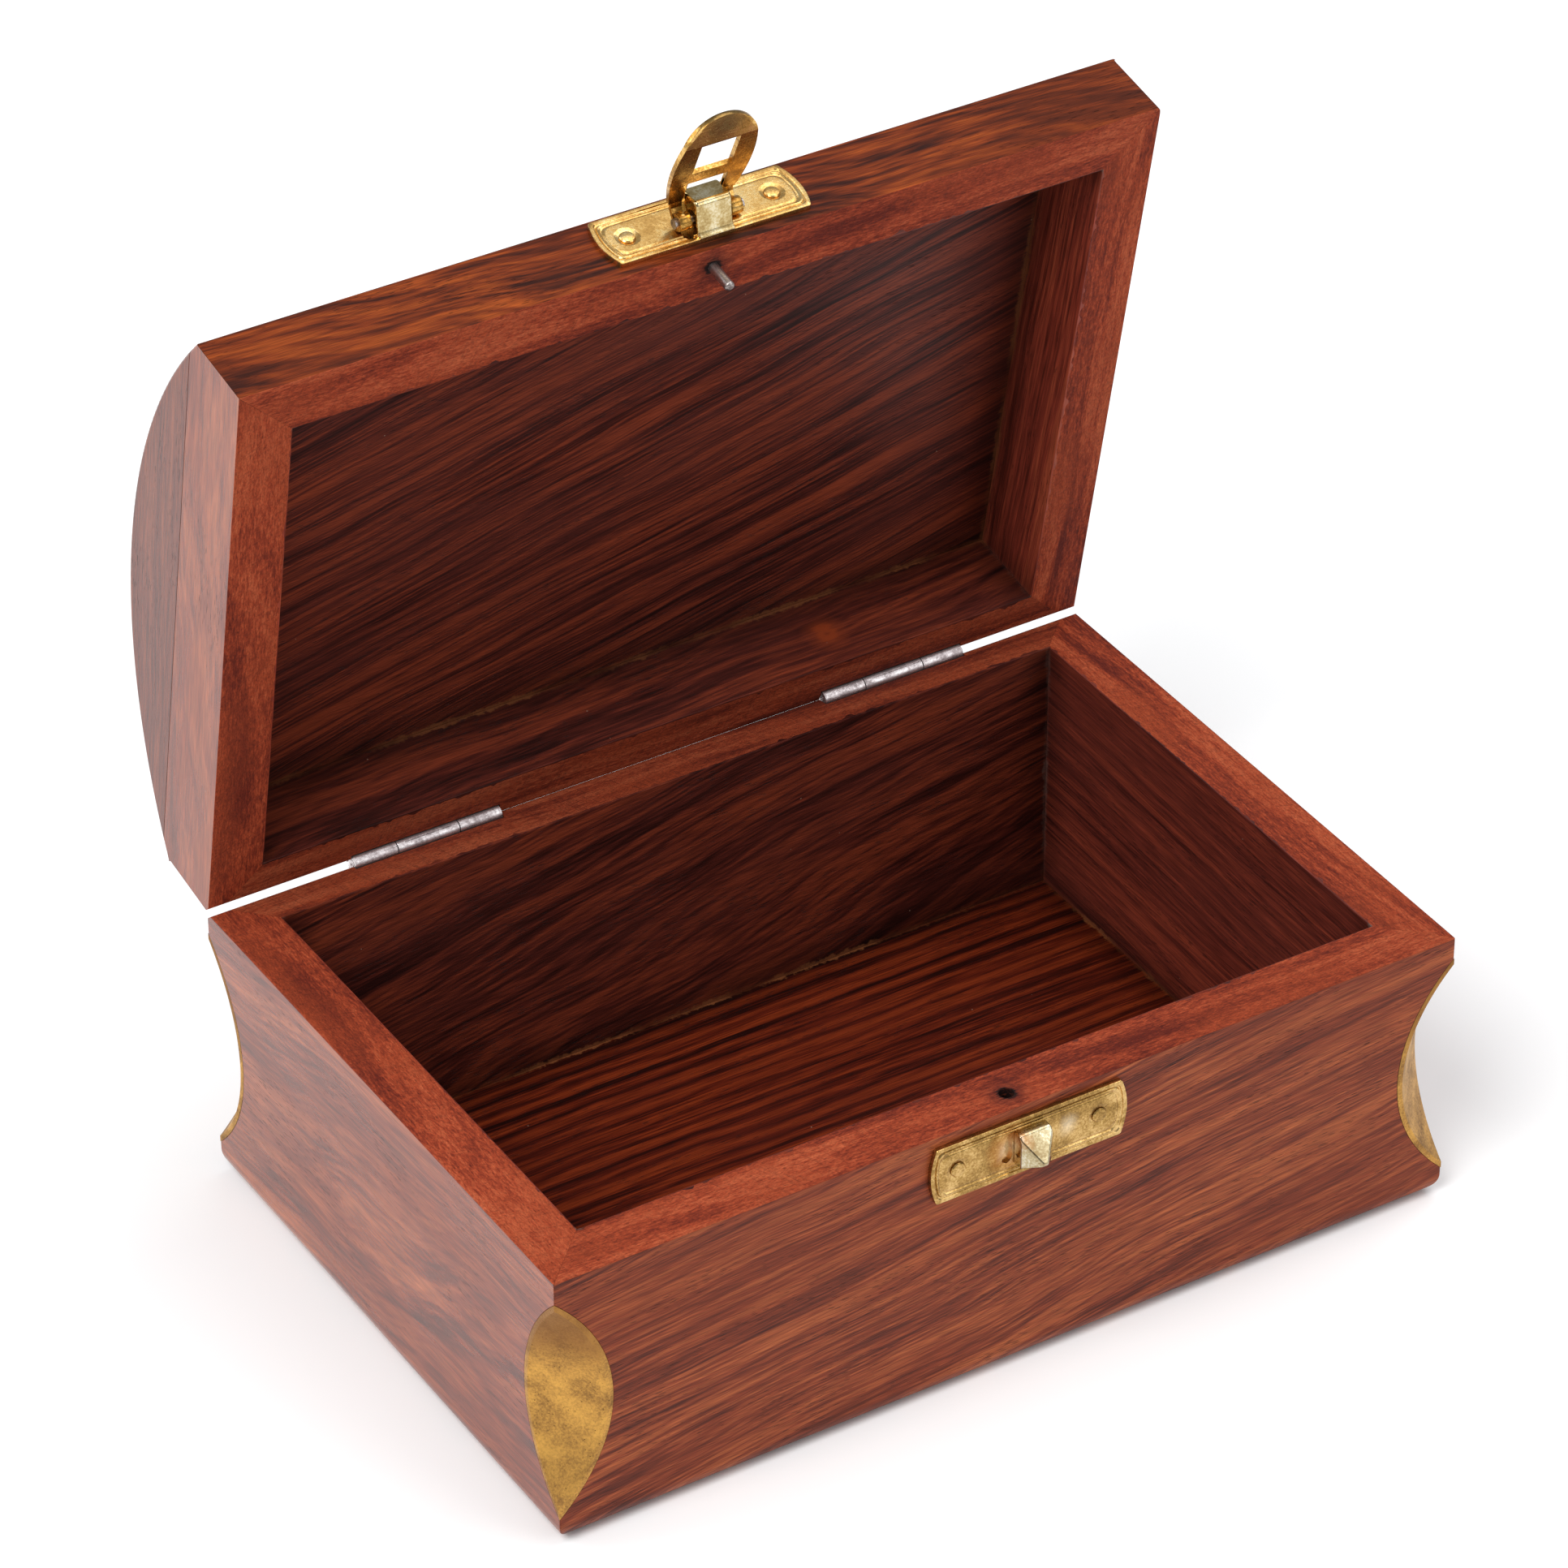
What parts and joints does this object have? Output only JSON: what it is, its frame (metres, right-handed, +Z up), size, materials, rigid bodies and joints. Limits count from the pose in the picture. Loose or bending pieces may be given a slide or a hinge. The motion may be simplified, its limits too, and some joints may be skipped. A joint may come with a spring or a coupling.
{
  "type": "watch box",
  "caption": "Small wooden trinket box with a domed lid on butt hinges, scooped corners faced in brass, and a snap hasp at the front.",
  "frame": {"origin": "centre of the base's underside, on the surface the box stands on", "axes": "+Z up; +X to the right along the length; -Y is the front, with the hasp; +Y is the hinge side. The lid stands open in the rest pose."},
  "size_m": [0.1524, 0.1264, 0.1688],
  "materials": {
    "rosewood": "semi-gloss oiled, bare on the rims and inside",
    "brass_leaf": "matte, mottled and pitted",
    "latch_brass": "polished, tarnished in the corners",
    "hinge_steel": "nickel plated, mottled",
    "pin_steel": "bright wire"
  },
  "bodies": {
    "base": {"base_back_wall": "rosewood", "base_floor": "rosewood", "base_front_wall": "rosewood", "base_left_wall": "rosewood", "base_right_wall": "rosewood", "catch_plate": "latch_brass", "catch_plate_nails": "latch_brass", "catch_stud": "latch_brass", "corner_leaf_back_left": "brass_leaf", "corner_leaf_back_right": "brass_leaf", "corner_leaf_front_left": "brass_leaf", "corner_leaf_front_right": "brass_leaf", "hinge_left_lower_leaf": "hinge_steel", "hinge_left_lower_nails": "hinge_steel", "hinge_left_pin": "hinge_steel", "hinge_right_lower_leaf": "hinge_steel", "hinge_right_lower_nails": "hinge_steel", "hinge_right_pin": "hinge_steel"},
    "lid": {"hasp_bridge": "latch_brass", "hasp_plate": "latch_brass", "hasp_plate_nails": "latch_brass", "hinge_left_upper_leaf": "hinge_steel", "hinge_left_upper_nails": "hinge_steel", "hinge_right_upper_leaf": "hinge_steel", "hinge_right_upper_nails": "hinge_steel", "lid_back_wall": "rosewood", "lid_front_wall": "rosewood", "lid_left_wall": "rosewood", "lid_right_wall": "rosewood", "lid_top": "rosewood", "locating_pin": "pin_steel"},
    "hasp": {"hasp": "latch_brass", "hasp_pin": "pin_steel"}
  },
  "joints": [
    {"name": "lid_hinge", "type": "hinge", "parent": "base", "child": "lid", "pos_m": [0, 0.0503, 0.0476], "axis": [1, 0, 0], "range_deg": [0, 79]},
    {"name": "hasp_hinge", "type": "hinge", "parent": "lid", "child": "hasp", "pos_m": [0, 0.03538, 0.15004], "axis": [1, 0, 0], "range_deg": [-30, 80]}
  ]
}
